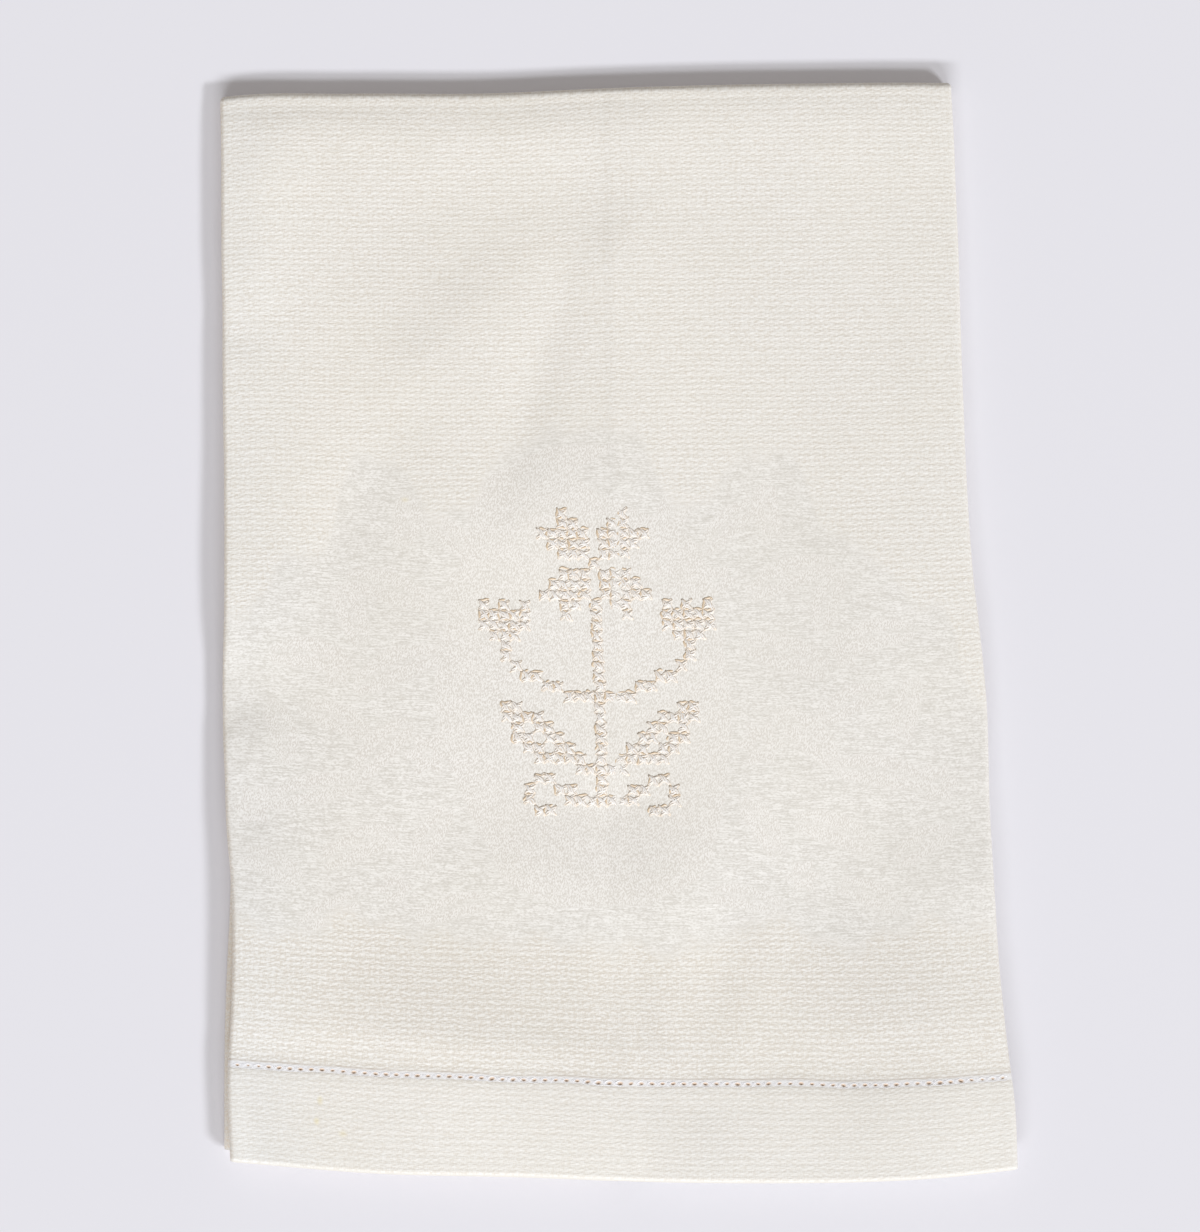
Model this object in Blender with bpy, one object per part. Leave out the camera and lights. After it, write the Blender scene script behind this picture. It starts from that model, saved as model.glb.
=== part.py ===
"""A linen huckaback hand towel, pressed, folded and lying flat.

Both long sides are turned behind until their selvedges nearly meet at the middle. The towel is then
doubled crosswise, so four layers lie on each other, with the fold at the far end (+Y) and the two hems
at the near end. The back half lies flat on the surface, and the front half carries the soft creases.
The cloth is one body: a flattened C across the towel, carried up the front, round the top fold and down
the back. The origin is under the middle of the folded towel.
"""

import math

import bmesh
import bpy
import numpy as np

MM = 0.001

# The cloth and how tightly it is folded, in millimetres
LAYER = 1.0  # one thickness of cloth
AIR = 0.25  # between one layer and the next
HEM_DEPTH = 22.8
HEM_SWELL = 1.15  # a hem is doubled cloth, so it is this many times as thick
HEM_STEP = 3.0  # above a hem's seam, over which the cloth thickens into it
SELVEDGE_GAP = 3.0  # between the two turned sides, behind the middle
SIDE_SOFTNESS = 2.0  # a side fold is this many times as wide as a round one
TOP_SOFTNESS = 1.3  # and the top fold this many times
PUFF = 0.6  # how far the front half stands off the back half where nothing dents it
PUFF_FLOOR = 0.15  # how softly a dent comes to rest on the layer below
TOP_FADE = 25.0  # below the top fold, over which the front half rises to its puff
FOLLOW = 0.6  # how much of that lift the turned sides take up, under the front

# How finely the solid is cut
COLUMNS = 22  # across the front, and half as many on each turned side
SIDE_STEPS = 5  # round a side fold
TOP_STEPS = 6  # round the top fold
FRONT_ROWS = 30  # between the top fold and the hem
BACK_ROWS = 7  # the same, down the flat back
HEM_ROWS = 2

# Down the towel: y, then x of the left and right folds of the front half and of the back half behind it
EDGES = (
    # y, left, right, left behind, right behind
    (140, -93.4, 94.2, -93.4, 94.2),
    (92, -93.5, 93.7, -93.3, 93.4),
    (58, -93.7, 92.8, -93.3, 92.8),
    (8, -93.7, 93.0, -93.2, 92.9),
    (-21, -94.6, 94.5, -93.0, 93.6),
    (-50, -94.2, 93.7, -93.1, 93.2),
    (-72, -93.0, 93.8, -93.7, 93.0),
    (-100, -93.4, 94.4, -95.2, 93.0),
    (-120, -94.2, 95.8, -95.7, 93.2),
    (-140, -94.1, 95.6, -95.9, 93.4),
)
LEFT, RIGHT = 1, 2
BEHIND = 2  # the columns of the back half lie this much further on

# Across the towel: x, then y of the top fold and of the front and back hems' edges
ENDS = (
    # x, top fold, front hem, back hem
    (-96, 139.8, -130.0, -127.1),
    (-90, 140.1, -130.7, -127.8),
    (-60, 139.4, -134.1, -131.0),
    (-24, 138.2, -136.2, -133.2),
    (6, 138.6, -138.3, -134.8),
    (38, 138.7, -139.7, -135.8),
    (60, 138.6, -140.1, -136.0),
    (78, 138.4, -139.7, -135.7),
    (96, 137.7, -138.3, -134.9),
)
TOP, FRONT_HEM, BACK_HEM = 1, 2, 3

# The soft creases of the front half: each runs from one point to another, swells by its rise (or sinks,
# where that is negative), and dies away over its two widths, to the left and to the right of its run,
# from a crest that is as round as its roundness
CREASES = (
    # from x, y, to x, y, width left, width right, roundness, rise
    (-32, 75, -41, 66, 20.0, 6.3, 16.5, 1.13),
    (-9, 80, -22, 41, 2.5, 2.8, 12.4, -0.49),
    (5, 94, 4, 93, 20.0, 7.8, 4.7, 0.61),
    (-14, 33, -26, 30, 20.0, 20.0, 19.0, 0.97),
    (-55, 50, -68, 1, 8.8, 6.0, 12.6, -0.69),
    (-101, -9, -67, -17, 20.0, 9.2, 14.8, -1.00),
    (-84, 136, -84, 97, 2.7, 2.0, 13.2, 0.51),
    (-94, 134, 84, 134, 14.8, 4.5, 0.8, 2.08),
    (-7, 110, 112, 113, 20.0, 20.0, 14.8, -0.51),
    (-33, -113, -14, -125, 17.2, 20.0, 20.0, 1.95),
    (-103, -95, -13, -105, 20.0, 2.0, 10.4, 0.47),
    (80, -122, 78, -95, 20.0, 20.0, 6.4, 1.46),
    (87, -68, 99, -69, 20.0, 7.4, 7.4, 0.85),
    (46, -80, 54, -109, 20.0, 4.1, 5.3, -0.85),
    (-86, 1, -53, -17, 20.0, 20.0, 20.0, 1.74),
    (-15, 28, 61, -23, 20.0, 20.0, 18.5, 0.88),
    (41, -9, 101, -31, 12.8, 15.5, 9.8, -0.43),
    (-17, -64, 15, -66, 10.3, 10.2, 9.9, 0.83),
    (-101, -15, -99, -15, 8.3, 4.1, 4.5, -1.45),
    (-95, -24, -86, -45, 2.0, 7.9, 3.1, -0.51),
    (-71, 140, -15, 136, 18.8, 4.1, 15.1, 1.55),
    (-82, -69, -98, -72, 9.0, 20.0, 18.9, 0.73),
    (69, 31, 63, -11, 18.7, 11.3, 11.3, 0.59),
    (5, -83, 19, -120, 12.1, 2.7, 2.4, -0.49),
    (6, -81, 11, -109, 11.6, 10.0, 2.9, 0.84),
    (68, -103, 82, -103, 3.0, 2.4, 17.8, 0.41),
    (1, -50, 8, -115, 3.6, 3.4, 6.6, -0.90),
)

LINEN = (0.80, 0.76, 0.68, 1.0)
LINEN_ROUGHNESS = 0.85


def read_across(table, column, at):
    """The table's column at any place between its rows, on a smooth curve through them."""
    rows = np.array(sorted(table), float)
    knots, values = rows[:, 0], rows[:, column]
    slopes = np.gradient(values, knots)
    at = float(np.clip(at, knots[0], knots[-1]))
    i = int(np.clip(np.searchsorted(knots, at) - 1, 0, len(knots) - 2))
    span = knots[i + 1] - knots[i]
    t = (at - knots[i]) / span
    blend = t * t * (3 - 2 * t)
    bow = span * (slopes[i] * t * (1 - t) ** 2 - slopes[i + 1] * t * t * (1 - t))
    return values[i] * (1 - blend) + values[i + 1] * blend + bow


def crease_rise(x, y):
    """How far the creases lift the front at a point."""
    rise = 0.0
    for x0, y0, x1, y1, width_left, width_right, roundness, height in CREASES:
        length = math.hypot(x1 - x0, y1 - y0)
        run_x, run_y = (x1 - x0) / length, (y1 - y0) / length
        along = (x - x0) * run_x + (y - y0) * run_y
        to_left = (y - y0) * run_x - (x - x0) * run_y
        width = width_left if to_left > 0 else width_right
        past_end = max(-along, 0, along - length)
        away = (math.hypot(to_left, roundness) - roundness) / width
        reach = roundness + (width_left + width_right) / 2
        rise += height * math.exp(-away - (past_end / reach) ** 2)
    return rise


def front_lift(x, y, top):
    """How far the front half stands off the back half: nothing at the top fold, and never less."""
    free = PUFF + crease_rise(x, y)
    lift = (free + math.hypot(free, PUFF_FLOOR)) / 2
    settled = min(max((top - y) / TOP_FADE, 0), 1)
    return lift * settled * settled * (3 - 2 * settled)


def section():
    """Across the cloth, selvedge to selvedge: a place from -1 to 1 and the turn of the side fold there."""
    gap = SELVEDGE_GAP / (EDGES[0][RIGHT] - EDGES[0][LEFT])
    inner = np.linspace(gap, 1, COLUMNS // 2 + 1)
    across = np.linspace(-1, 1, COLUMNS + 1)
    turns = np.linspace(math.pi / 2, -math.pi / 2, SIDE_STEPS + 1)[1:-1]
    points = [(-place, -math.pi / 2) for place in inner]
    points += [(-1, math.pi + turn) for turn in turns]
    points += [(place, math.pi / 2) for place in across]
    points += [(1, turn) for turn in turns]
    points += [(place, -math.pi / 2) for place in inner[::-1]]
    return points


def rows_to_hem(count):
    """From the top fold to the edge of a hem: the share of the way, and the cloth's thickness there."""
    length = read_across(ENDS, TOP, 0) - read_across(ENDS, FRONT_HEM, 0)
    seam = 1 - HEM_DEPTH / length
    body = list(np.linspace(0, seam - HEM_STEP / length, count + 1))
    body.insert(1, body[1] / 2)  # where the front half rises off the top fold
    hem = np.linspace(seam, 1, HEM_ROWS + 1)
    return [(share, LAYER) for share in body] + [(share, LAYER * HEM_SWELL) for share in hem]


def stations():
    """Up the front, round the top fold and down the back: the bend of the fold, and a row to the hem."""
    bends = np.linspace(math.pi / 2, -math.pi / 2, TOP_STEPS + 1)
    front = [(bends[0], *row) for row in reversed(rows_to_hem(FRONT_ROWS))]
    round_top = [(bend, 0, LAYER) for bend in bends[1:-1]]
    return front + round_top + [(bends[-1], *row) for row in rows_to_hem(BACK_ROWS)]


def cloth_point(place, turn, bend, share, thick, right_side):
    """A point on the cloth's right side, which shows, or on its wrong side, in millimetres."""
    # The folded stack, outwards from the middle plane of the top fold: air, turned side, air, front
    half_stack = AIR / 2 + thick + AIR + thick
    level_of_fold = (AIR / 2 + half_stack) / 2
    deep = AIR / 2 + thick if right_side else AIR / 2
    wide = SIDE_SOFTNESS * (AIR / 2 + thick) - (0 if right_side else thick)
    level = level_of_fold + deep * math.sin(turn)

    behind = bend < 0
    end = BACK_HEM if behind else FRONT_HEM
    y = read_across(ENDS, TOP, 0) * (1 - share) + read_across(ENDS, end, 0) * share
    inset = SIDE_SOFTNESS * (AIR / 2 + thick)
    left = read_across(EDGES, LEFT + BEHIND * behind, y) + inset
    right = read_across(EDGES, RIGHT + BEHIND * behind, y) - inset
    x = (left + right) / 2 + place * (right - left) / 2 + wide * math.cos(turn)

    top = read_across(ENDS, TOP, x) - TOP_SOFTNESS * half_stack
    y = top * (1 - share) + read_across(ENDS, end, x) * share
    follow = FOLLOW + (1 - FOLLOW) * level / half_stack
    lift = 0 if bend < math.pi / 2 else front_lift(x, y, top) * follow
    y += TOP_SOFTNESS * level * math.cos(bend)
    return x, y, half_stack + level * math.sin(bend) + lift


def build_cloth():
    """The folded cloth as one closed skin: its right side, its wrong side and the four edges between."""
    across, along = section(), stations()
    skin = bmesh.new()
    grid = [
        [
            [
                skin.verts.new([MM * value for value in cloth_point(*spot, *row, right_side)])
                for spot in across
            ]
            for row in along
        ]
        for right_side in (True, False)
    ]
    outer, inner = grid

    def face(*corners):
        skin.faces.new(corners)

    for row in range(len(along) - 1):
        for spot in range(len(across) - 1):
            for side in grid:
                face(side[row][spot], side[row][spot + 1], side[row + 1][spot + 1], side[row + 1][spot])
        for spot in (0, -1):
            face(outer[row][spot], outer[row + 1][spot], inner[row + 1][spot], inner[row][spot])
    for row in (0, -1):
        for spot in range(len(across) - 1):
            face(outer[row][spot], outer[row][spot + 1], inner[row][spot + 1], inner[row][spot])
    bmesh.ops.recalc_face_normals(skin, faces=skin.faces)
    mesh = bpy.data.meshes.new("towel")
    skin.to_mesh(mesh)
    skin.free()
    mesh.shade_smooth()
    return mesh


def linen():
    material = bpy.data.materials.new("linen")
    material.use_nodes = True
    shader = material.node_tree.nodes["Principled BSDF"]
    shader.inputs["Base Color"].default_value = LINEN
    shader.inputs["Roughness"].default_value = LINEN_ROUGHNESS
    shader.inputs["Metallic"].default_value = 0.0
    return material


for old in list(bpy.data.objects):
    bpy.data.objects.remove(old, do_unlink=True)

towel = bpy.data.objects.new("towel", build_cloth())
towel.data.materials.append(linen())
bpy.context.scene.collection.objects.link(towel)
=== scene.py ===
"""A linen guest towel with a damask field, a cross-stitched sprig and a hemstitched end, folded flat."""

import math
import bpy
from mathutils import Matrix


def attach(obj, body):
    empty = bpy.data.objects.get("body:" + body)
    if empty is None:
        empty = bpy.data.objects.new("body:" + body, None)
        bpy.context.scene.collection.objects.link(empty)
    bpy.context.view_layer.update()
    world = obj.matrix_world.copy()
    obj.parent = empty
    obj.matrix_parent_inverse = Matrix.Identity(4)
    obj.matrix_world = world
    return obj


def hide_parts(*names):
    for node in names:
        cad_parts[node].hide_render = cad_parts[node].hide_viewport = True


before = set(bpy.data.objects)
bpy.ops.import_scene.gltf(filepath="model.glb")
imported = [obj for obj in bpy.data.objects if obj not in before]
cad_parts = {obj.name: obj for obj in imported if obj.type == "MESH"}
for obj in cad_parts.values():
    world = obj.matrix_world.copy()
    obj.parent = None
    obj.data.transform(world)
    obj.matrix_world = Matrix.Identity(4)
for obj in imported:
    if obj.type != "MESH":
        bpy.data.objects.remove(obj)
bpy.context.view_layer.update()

from types import SimpleNamespace

import bmesh
import bpy
import numpy as np
from mathutils import Matrix, Vector

# ----------------------------------------------------------
# The camera. It looks down on the towel from the hem's side, leaning 11.5 degrees from straight above,
# and the towel lies turned by 1.9 degrees under it.
MM = 0.001
LENS_DISTANCE = 0.900
LENS_TILT = math.radians(11.5)
TOWEL_TURN = math.radians(1.9)
LOOKS_AT = Vector((-0.5, 1.65, 0.0)) * MM
LENS_MM, SENSOR_MM = 105.2, 36.0

picture_right = Vector((math.cos(TOWEL_TURN), -math.sin(TOWEL_TURN), 0))
picture_up = Vector((math.sin(TOWEL_TURN), math.cos(TOWEL_TURN), 0))
towards_lens = Vector((0, 0, 1)) * math.cos(LENS_TILT) - picture_up * math.sin(LENS_TILT)

camera = bpy.data.objects.new("camera", bpy.data.cameras.new("camera"))
camera.data.sensor_fit = "VERTICAL"
camera.data.sensor_height = camera.data.sensor_width = SENSOR_MM
camera.data.lens = LENS_MM
camera.data.clip_start, camera.data.clip_end = 0.01, 20
camera.matrix_world = Matrix.Translation(LOOKS_AT + towards_lens * LENS_DISTANCE) @ Matrix(
    (picture_right, towards_lens.cross(picture_right), towards_lens)
).transposed().to_4x4()
scene = bpy.context.scene
scene.collection.objects.link(camera)
scene.camera = camera

# ----------------------------------------------------------
# The folded cloth. One piece of linen huckaback, about 15 x 22 inches, woven with a damask field near its
# ends and hemmed at both. The long sides are turned behind to meet at the middle, and the whole is then
# doubled crosswise, so the back half lies on the table and the front half, lightly creased, on top of it.
LAYER = 1.0  # the room that one thickness of cloth takes in the fold, in millimetres
AIR = 0.25
CLOTH = 0.82  # how much of that room the cloth itself fills
HEM_SWELL, HEM_STEP = 1.07, 6.0
SELVEDGE_GAP = 3.0
SIDE_SOFTNESS, TOP_SOFTNESS = 1.0, 0.9
PUFF, PUFF_FLOOR, TOP_FADE, FOLLOW = 0.6, 0.15, 25.0, 0.6

REPEAT = 2.6  # the weave's repeat across the cloth, which is also the hemstitch's
REPEATS = 73  # across the front
ROW = 1.55  # from one row of the weave to the next
ROWS_TO_SEAM, ROWS_IN_HEM = 164, 15
HALF_FRONT = REPEATS * REPEAT / 2
BODY_LENGTH = ROWS_TO_SEAM * ROW
FULL_LENGTH = (ROWS_TO_SEAM + ROWS_IN_HEM) * ROW
SIDE_ARC = 5.4  # cloth taken up by a side fold

EDGES = (
    # y, left, right, left behind, right behind
    (140, -93.4, 94.2, -93.4, 94.2),
    (92, -93.5, 93.7, -93.3, 93.4),
    (58, -93.7, 92.8, -93.3, 92.8),
    (8, -93.7, 93.0, -93.2, 92.9),
    (-21, -94.6, 94.5, -93.0, 93.6),
    (-50, -94.2, 93.7, -93.1, 93.2),
    (-72, -93.0, 93.8, -93.7, 93.0),
    (-100, -93.4, 94.4, -95.2, 93.0),
    (-120, -94.7, 95.8, -95.7, 93.2),
    (-140, -94.1, 95.6, -95.9, 93.4),
)
LEFT, RIGHT, BEHIND = 1, 2, 2
ENDS = (
    # x, top fold, seam of the front hem, edge of the front hem, seam and edge of the back hem
    (-96, 139.8, -107.1, -130.0, -104.3, -127.1),
    (-90, 140.4, -107.7, -130.7, -105.0, -127.8),
    (-60, 140.0, -110.7, -134.1, -108.2, -131.0),
    (-24, 138.9, -113.4, -136.2, -110.4, -133.2),
    (6, 139.3, -115.3, -138.3, -112.0, -134.8),
    (38, 139.2, -116.5, -139.7, -113.0, -135.8),
    (60, 138.8, -117.5, -140.1, -113.2, -136.0),
    (78, 138.4, -117.4, -139.7, -112.9, -135.7),
    (96, 137.7, -116.7, -138.3, -112.1, -134.9),
)
TOP, FRONT_SEAM, FRONT_HEM, BACK_SEAM, BACK_HEM = 1, 2, 3, 4, 5
CREASES = (
    # from x, y, to x, y, width left, width right, roundness of the crest, rise
    (-32, 75, -41, 66, 20, 6.3, 16.5, 1.13),
    (-9, 80, -22, 41, 2.5, 2.8, 12.4, -0.49),
    (5, 94, 4, 93, 20, 7.8, 4.7, 0.61),
    (-14, 33, -26, 30, 20, 20, 19, 0.97),
    (-55, 50, -68, 1, 8.8, 6, 12.6, -0.69),
    (-101, -9, -67, -17, 20, 9.2, 14.8, -1.0),
    (-84, 136, -84, 97, 2.7, 2, 13.2, 0.51),
    (-98, 79, -91, 77, 4.7, 2.2, 5.8, -0.28),
    (-94, 134, 84, 134, 14.8, 4.5, 0.8, 2.08),
    (-7, 110, 112, 113, 20, 20, 14.8, -0.51),
    (-33, -113, -14, -125, 17.2, 20, 20, 1.95),
    (-103, -95, -13, -105, 20, 2, 10.4, 0.47),
    (80, -122, 78, -95, 20, 20, 6.4, 1.46),
    (87, -68, 99, -69, 20, 7.4, 7.4, 0.85),
    (-2, -94, -2, -102, 11, 2, 3.2, -0.23),
    (36, -65, 10, -130, 2, 2, 17.6, -0.3),
    (46, -80, 54, -109, 20, 4.1, 5.3, -0.85),
    (-86, 1, -53, -17, 20, 20, 20, 1.74),
    (-15, 28, 61, -23, 20, 20, 18.5, 0.88),
    (41, -9, 101, -31, 12.8, 15.5, 9.8, -0.43),
    (-17, -64, 15, -66, 10.3, 10.2, 9.9, 0.83),
    (10, 129, 17, 62, 2.9, 2, 10.9, 0.2),
    (-101, -15, -99, -15, 8.3, 4.1, 4.5, -1.45),
    (-95, -24, -86, -45, 2, 7.9, 3.1, -0.51),
    (-46, 92, -32, 103, 2.1, 12.2, 10.1, 0.13),
    (-71, 140, -15, 136, 18.8, 4.1, 15.1, 1.55),
    (-82, -69, -98, -72, 9, 20, 18.9, 0.73),
    (69, 31, 63, -11, 18.7, 11.3, 11.3, 0.59),
    (-6, 89, -19, 43, 6.5, 2, 1.7, -0.08),
    (-47, 51, -75, 6, 9.9, 2, 4.7, -0.08),
    (-97, -23, -89, -21, 4.1, 2.7, 5.7, -0.39),
    (9, 127, 7, 36, 3.7, 2, 3.5, 0.19),
    (25, -69, 26, -88, 4.6, 8.3, 3.2, -0.3),
    (5, -83, 19, -120, 12.1, 2.7, 2.4, -0.49),
    (6, -81, 11, -109, 11.6, 10, 2.9, 0.84),
    (52, -60, 37, -109, 11.8, 5.7, 3.3, -0.25),
    (-86, -89, -11, -112, 3.8, 2, 8.5, 0.09),
    (68, -103, 82, -103, 3, 2.4, 17.8, 0.41),
    (71, 100, 76, 35, 2, 16.9, 6.9, -0.3),
    (1, -50, 8, -115, 3.6, 3.4, 6.6, -0.9),
)
# Where the towel was once folded down its middle: y, x, and the ridge that is left
OLD_FOLD = ((140, 6.6), (35, 4.4), (-78, 1.8), (-114, 3.0), (-140, 3.4))
OLD_FOLD_WIDTH, OLD_FOLD_RISE = 1.1, 0.14

RELIEF = 0.006  # how far the rows of the weave stand out
HEM_RELIEF = 0.6  # the share of it that is left in the hem, where the cloth is double
FIELD_RELIEF = 0.12  # and in the damask field
# How far the threads stray or vary, and how wide and high the patches are that do so alike
ROWS_STRAY, COLUMNS_STRAY = ((0.22, 14, 5), (0.12, 5, 2.5)), ((0.16, 6, 14),)
YARN_VARIES, CLOTH_VARIES = ((0.45, REPEAT, ROW),), ((0.3, 18, 9),)
EDGE_REACH = 6.0  # the hem's edge is straight, and they stray fully this far from it

HOLE_ACROSS, HOLE_DOWN = 0.68, 0.46  # a hemstitch hole's half width and half height
HOLE_SHIFT = 0.04  # it lies a little above the seam
HOLE_VARIES, HOLE_LEAN = (-0.16, 0.12), 0.25
SMALL_HOLES, SMALL_FROM, SMALL_OVER = 0.35, 82, 10  # they shrink by that share near the side folds
# What the attribute "shade" says: plain cloth, a hole's rim, what shows through it, a hem's turned lip
PLAIN, AT_RIM, IN_HOLE, ON_LIP = 0.0, 0.3, 1.0, -0.2
HOLE_RIMS = ((1, 0.03, AT_RIM), (0.12, 0.06, IN_HOLE))  # share of the hole's size, depth, shade
OUTSIDE = (-9, -9)  # well outside the damask field and its satin shapes
LIP_SWELL = 0.85  # how far a turned lip stands out, in half thicknesses of the cloth

SIDE_STEPS, TURNED_COLUMNS, TOP_STEPS, BACK_ROWS = 8, 12, 8, 26
COARSE_ROWS = 12  # every so many rows go on into the layers that don't show
SEAM_ROW = 2 * ROWS_IN_HEM  # the row of the mesh that the holes lie on

even = np.random.default_rng(17)


def read_across(table, column, at):
    """The table's column at any places between its rows, on a smooth curve through them."""
    rows = np.array(sorted(table), float)
    knots, values = rows[:, 0], rows[:, column]
    slopes = np.gradient(values, knots)
    at = np.clip(np.asarray(at, float), knots[0], knots[-1])
    i = np.clip(np.searchsorted(knots, at) - 1, 0, len(knots) - 2)
    span = knots[i + 1] - knots[i]
    t = (at - knots[i]) / span
    blend = t * t * (3 - 2 * t)
    bow = span * (slopes[i] * t * (1 - t) ** 2 - slopes[i + 1] * t * t * (1 - t))
    return values[i] * (1 - blend) + values[i + 1] * blend + bow


def eased(value):
    """0 below 0, 1 above 1, and a smooth rise between."""
    t = np.clip(value, 0, 1)
    return t * t * (3 - 2 * t)


def soft_noise(u, v, wide, high):
    """Even random values between -1 and 1 on a grid of that size, smoothed between its points."""
    across, down = np.broadcast_arrays(u / wide, v / high)
    i, j = np.floor(across).astype(int), np.floor(down).astype(int)
    grid = even.uniform(-1, 1, (np.ptp(i) + 2, np.ptp(j) + 2))
    s, t = eased(across - i), eased(down - j)
    i, j = i - i.min(), j - j.min()
    low = grid[i, j] * (1 - s) + grid[i + 1, j] * s
    high = grid[i, j + 1] * (1 - s) + grid[i + 1, j + 1] * s
    return low * (1 - t) + high * t


def stray(u, v, patches):
    """Soft noise of all those sizes together."""
    return sum(size * soft_noise(u, v, wide, high) for size, wide, high in patches)


def front_lift(x, y, top):
    """How far the front half stands off the back half: nothing at the top fold, and never less."""
    rise = 0.0
    for x0, y0, x1, y1, width_left, width_right, roundness, height in CREASES:
        length = math.hypot(x1 - x0, y1 - y0)
        run_x, run_y = (x1 - x0) / length, (y1 - y0) / length
        along = (x - x0) * run_x + (y - y0) * run_y
        to_left = (y - y0) * run_x - (x - x0) * run_y
        width = np.where(to_left > 0, width_left, width_right)
        past_end = np.maximum(np.maximum(-along, along - length), 0)
        away = (np.hypot(to_left, roundness) - roundness) / width
        reach = roundness + (width_left + width_right) / 2
        rise = rise + height * np.exp(-away - (past_end / reach) ** 2)
    free = PUFF + rise
    lift = (free + np.hypot(free, PUFF_FLOOR)) / 2
    return lift * eased((top - y) / TOP_FADE)


def cloth_point(place, turn, bend, down, right_side):
    """Points of the cloth in millimetres. down is the length of cloth from the top fold to the row."""
    share = down / FULL_LENGTH
    step = eased((down - BODY_LENGTH) / HEM_STEP + 0.5)
    room = LAYER * (1 + (HEM_SWELL - 1) * step)
    half_stack = AIR / 2 + room + AIR + room
    level_of_fold = (AIR / 2 + half_stack) / 2
    wall = 0 if right_side else CLOTH * room
    deep = AIR / 2 + room - wall
    wide = SIDE_SOFTNESS * (AIR / 2 + room) - wall
    level = level_of_fold + deep * np.sin(turn)

    def either(table, in_front, behind, at):
        return np.where(bend < 0, read_across(table, behind, at), read_across(table, in_front, at))

    y = read_across(ENDS, TOP, 0) * (1 - share) + either(ENDS, FRONT_HEM, BACK_HEM, 0) * share
    inset = SIDE_SOFTNESS * (AIR / 2 + room)
    left = either(EDGES, LEFT, LEFT + BEHIND, y) + inset
    right = either(EDGES, RIGHT, RIGHT + BEHIND, y) - inset
    x = (left + right) / 2 + place * (right - left) / 2 + wide * np.cos(turn)

    top = read_across(ENDS, TOP, x) - TOP_SOFTNESS * half_stack
    seam, edge = either(ENDS, FRONT_SEAM, BACK_SEAM, x), either(ENDS, FRONT_HEM, BACK_HEM, x)
    in_body = np.minimum(down / BODY_LENGTH, 1)
    in_hem = np.maximum(down - BODY_LENGTH, 0) / (FULL_LENGTH - BODY_LENGTH)
    y = top * (1 - in_body) + seam * in_body + (edge - seam) * in_hem
    follow = FOLLOW + (1 - FOLLOW) * level / half_stack
    lift = np.where(bend < math.pi / 2, 0, front_lift(x, y, top) * follow)
    y = y + TOP_SOFTNESS * level * np.cos(bend)
    return np.stack(np.broadcast_arrays(x, y, half_stack + level * np.sin(bend) + lift), -1)


def on_front(u, v):
    """Points of the front that are u across from the middle and v down from the top fold."""
    return cloth_point(np.asarray(u) / HALF_FRONT, math.pi / 2, math.pi / 2, np.asarray(v), True)


def weave_rise(across, rows):
    """Huckaback: the weft rises in rows, a little higher by turns across them."""
    wave = np.cos(2 * math.pi * across)
    return -0.5 * np.cos(2 * math.pi * rows) * (1 + 0.25 * wave)


# The damask field: the bounds of its lobed arch, x and y, and the smooth satin shapes within it
ARCH_TOP = (
    (-96, 5), (-84, 8), (-79, 18), (-67, 24), (-64, 37), (-57, 42), (-49, 39), (-44, 30), (-34, 28),
    (-27, 38), (-15, 46), (-1, 48), (11, 45), (17, 31), (26, 28), (31, 36), (42, 40), (51, 36),
    (56, 22), (66, 17), (72, 8), (79, 0), (86, -3), (90, -20), (96, -30),
)
ARCH_BASE = (
    (-96, -71), (-79, -77), (-64, -72), (-48, -77), (-13, -80), (21, -83), (42, -77), (56, -84),
    (72, -79), (96, -81),
)
MEDALLION = (
    # y, left, right
    (44, -12, 6), (38, -25, -4), (20, -33, 22), (0, -39, 28), (-18, -42, 31), (-38, -38, 30),
    (-56, -30, 26), (-67, -23, 20), (-72, -12, 9),
)
LEAVES = (
    # x out from the middle, y, the angle it points at, length, width
    (24, 28, 65, 22, 8), (36, 22, 40, 20, 7), (46, 26, 95, 16, 7), (50, 8, 20, 24, 8),
    (60, 2, 70, 18, 7), (70, -8, 10, 22, 8), (48, -12, -20, 24, 9), (64, -24, 25, 20, 7),
    (78, -26, 75, 18, 7), (52, -32, -45, 22, 8), (70, -42, -10, 24, 8), (40, -54, -60, 18, 7),
    (58, -56, -20, 22, 8), (80, -60, 30, 18, 7), (36, -72, -15, 20, 6), (66, -72, -25, 18, 6),
)
ROSETTES = ((41, -33, 6.0), (63, -11, 4.5), (84, -44, 5.5), (50, -66, 4.5), (32, 8, 5.0))
FIELD_MIDDLE = -3.0  # x of the field's middle
SCALLOPS = ((1.3, 1.9, math.inf), (0.9, 3.1, 2.3))  # of its outline: how deep, how wide, how high
LEAF_CURVE, VEIN = 0.18, 0.45  # a leaf's bow by its width, and half the width of its vein
PETALS, NOTCH, EYE = 6, 0.22, 0.22  # of a rosette, the last two by its size


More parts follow.
